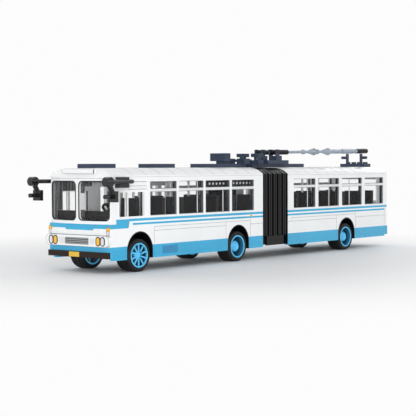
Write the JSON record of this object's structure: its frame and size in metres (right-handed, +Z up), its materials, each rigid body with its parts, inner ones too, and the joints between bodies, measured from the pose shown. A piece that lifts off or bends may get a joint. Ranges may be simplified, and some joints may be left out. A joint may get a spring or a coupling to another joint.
{
  "type": "toy articulated trolleybus",
  "caption": "Brick-built toy articulated trolleybus: two glazed body halves joined by bellows hoops, rolling wheels, hinged doors and roof poles that lift.",
  "frame": {"origin": "on the ground under the middle of the overall length and width", "axes": "+X towards the front of the bus, +Y to its left, +Z up"},
  "size_m": [0.4056, 0.0874, 0.0963],
  "materials": {
    "white": "gloss",
    "azure": "gloss",
    "rim_azure": "gloss",
    "slate": "satin",
    "black": "satin",
    "bumper": "gloss",
    "seat": "satin",
    "grey": "satin",
    "pole_grey": "gloss",
    "rail": "gloss",
    "clear": "gloss",
    "lamp": "gloss",
    "amber": "gloss",
    "red": "gloss",
    "tyre": "matte",
    "axle": "satin"
  },
  "bodies": {
    "front_section": {"front_floor": "black", "front_wheel_wells": "black", "front_wall_left": "white", "front_wall_right": "white", "front_roof": "white", "front_mask": "white", "front_blue_trim": "azure", "front_bumper": "bumper", "headlamp_bezel": "white", "grille": "grey", "lamps_clear": "lamp", "lamps_amber": "amber", "front_glazing": "clear", "front_roof_gear": "slate", "dashboard": "seat", "front_seats": "seat", "front_handrails": "rail", "mirrors": "black"},
    "rear_section": {"rear_floor": "black", "rear_wheel_wells": "black", "rear_wall_left": "white", "rear_wall_right": "white", "rear_roof": "white", "rear_back": "white", "rear_blue_trim": "azure", "tail_lamps": "red", "rear_glazing": "clear", "rear_seats": "seat", "rear_handrails": "rail", "trolley_base": "slate"},
    "hoop_1": {"bellows_hoop_1": "black"},
    "hoop_2": {"bellows_hoop_2": "black"},
    "hoop_3": {"bellows_hoop_3": "black"},
    "hoop_4": {"bellows_hoop_4": "black"},
    "hoop_5": {"bellows_hoop_5": "black"},
    "front_door_fore_leaf": {"front_door_fore": "white", "front_door_fore_glass": "clear"},
    "front_door_aft_leaf": {"front_door_aft": "white", "front_door_aft_glass": "clear"},
    "middle_door_fore_leaf": {"middle_door_fore": "white", "middle_door_fore_glass": "clear"},
    "middle_door_aft_leaf": {"middle_door_aft": "white", "middle_door_aft_glass": "clear"},
    "rear_door_fore_leaf": {"rear_door_fore": "white", "rear_door_fore_glass": "clear"},
    "rear_door_aft_leaf": {"rear_door_aft": "white", "rear_door_aft_glass": "clear"},
    "pole_left": {"pole_left_bar": "pole_grey", "pole_left_fittings": "black"},
    "pole_right": {"pole_right_bar": "pole_grey", "pole_right_fittings": "black"},
    "front_wheelset": {"front_axle": "axle", "front_rims": "rim_azure", "front_tyres": "tyre"},
    "middle_wheelset": {"middle_axle": "axle", "middle_rims": "rim_azure", "middle_tyres": "tyre"},
    "rear_wheelset": {"rear_axle": "axle", "rear_rims": "rim_azure", "rear_tyres": "tyre"}
  },
  "joints": [
    {"name": "articulation", "type": "hinge", "parent": "front_section", "child": "rear_section", "pos_m": [-0.01485, 0, 0.016], "axis": [0, 0, 1], "range_deg": [-20, 20]},
    {"name": "hoop_1_turn", "type": "hinge", "parent": "front_section", "child": "hoop_1", "pos_m": [-0.01485, 0, 0.016], "axis": [0, 0, 1], "range_deg": [-3.33, 3.33]},
    {"name": "hoop_2_turn", "type": "hinge", "parent": "front_section", "child": "hoop_2", "pos_m": [-0.01485, 0, 0.016], "axis": [0, 0, 1], "range_deg": [-6.67, 6.67]},
    {"name": "hoop_3_turn", "type": "hinge", "parent": "front_section", "child": "hoop_3", "pos_m": [-0.01485, 0, 0.016], "axis": [0, 0, 1], "range_deg": [-10, 10]},
    {"name": "hoop_4_turn", "type": "hinge", "parent": "front_section", "child": "hoop_4", "pos_m": [-0.01485, 0, 0.016], "axis": [0, 0, 1], "range_deg": [-13.33, 13.33]},
    {"name": "hoop_5_turn", "type": "hinge", "parent": "front_section", "child": "hoop_5", "pos_m": [-0.01485, 0, 0.016], "axis": [0, 0, 1], "range_deg": [-16.67, 16.67]},
    {"name": "front_axle_roll", "type": "hinge", "parent": "front_section", "child": "front_wheelset", "pos_m": [0.15755, 0, 0.0125], "axis": [0, 1, 0], "continuous": true},
    {"name": "middle_axle_roll", "type": "hinge", "parent": "front_section", "child": "middle_wheelset", "pos_m": [0.03755, 0, 0.0125], "axis": [0, 1, 0], "continuous": true},
    {"name": "rear_axle_roll", "type": "hinge", "parent": "rear_section", "child": "rear_wheelset", "pos_m": [-0.12805, 0, 0.0125], "axis": [0, 1, 0], "continuous": true},
    {"name": "front_door_fore_swing", "type": "hinge", "parent": "front_section", "child": "front_door_fore_leaf", "pos_m": [0.13915, -0.0305, 0.04], "axis": [0, 0, 1], "range_deg": [0, 85]},
    {"name": "front_door_aft_swing", "type": "hinge", "parent": "front_section", "child": "front_door_aft_leaf", "pos_m": [0.11795, -0.0305, 0.04], "axis": [0, 0, -1], "range_deg": [0, 85]},
    {"name": "middle_door_fore_swing", "type": "hinge", "parent": "front_section", "child": "middle_door_fore_leaf", "pos_m": [0.07765, -0.0305, 0.04], "axis": [0, 0, 1], "range_deg": [0, 85]},
    {"name": "middle_door_aft_swing", "type": "hinge", "parent": "front_section", "child": "middle_door_aft_leaf", "pos_m": [0.05645, -0.0305, 0.04], "axis": [0, 0, -1], "range_deg": [0, 85]},
    {"name": "rear_door_fore_swing", "type": "hinge", "parent": "rear_section", "child": "rear_door_fore_leaf", "pos_m": [-0.04735, -0.0305, 0.04], "axis": [0, 0, 1], "range_deg": [0, 85]},
    {"name": "rear_door_aft_swing", "type": "hinge", "parent": "rear_section", "child": "rear_door_aft_leaf", "pos_m": [-0.06855, -0.0305, 0.04], "axis": [0, 0, -1], "range_deg": [0, 85]},
    {"name": "pole_left_raise", "type": "hinge", "parent": "rear_section", "child": "pole_left", "pos_m": [-0.04565, 0.008, 0.0914], "axis": [0, 1, 0], "range_deg": [0, 45]},
    {"name": "pole_right_raise", "type": "hinge", "parent": "rear_section", "child": "pole_right", "pos_m": [-0.04565, -0.008, 0.0914], "axis": [0, 1, 0], "range_deg": [0, 45]}
  ],
  "couplings": [
    {"joint": "hoop_1_turn", "follows": "articulation", "ratio": 0.16667},
    {"joint": "hoop_2_turn", "follows": "articulation", "ratio": 0.33333},
    {"joint": "hoop_3_turn", "follows": "articulation", "ratio": 0.5},
    {"joint": "hoop_4_turn", "follows": "articulation", "ratio": 0.66667},
    {"joint": "hoop_5_turn", "follows": "articulation", "ratio": 0.83333}
  ]
}
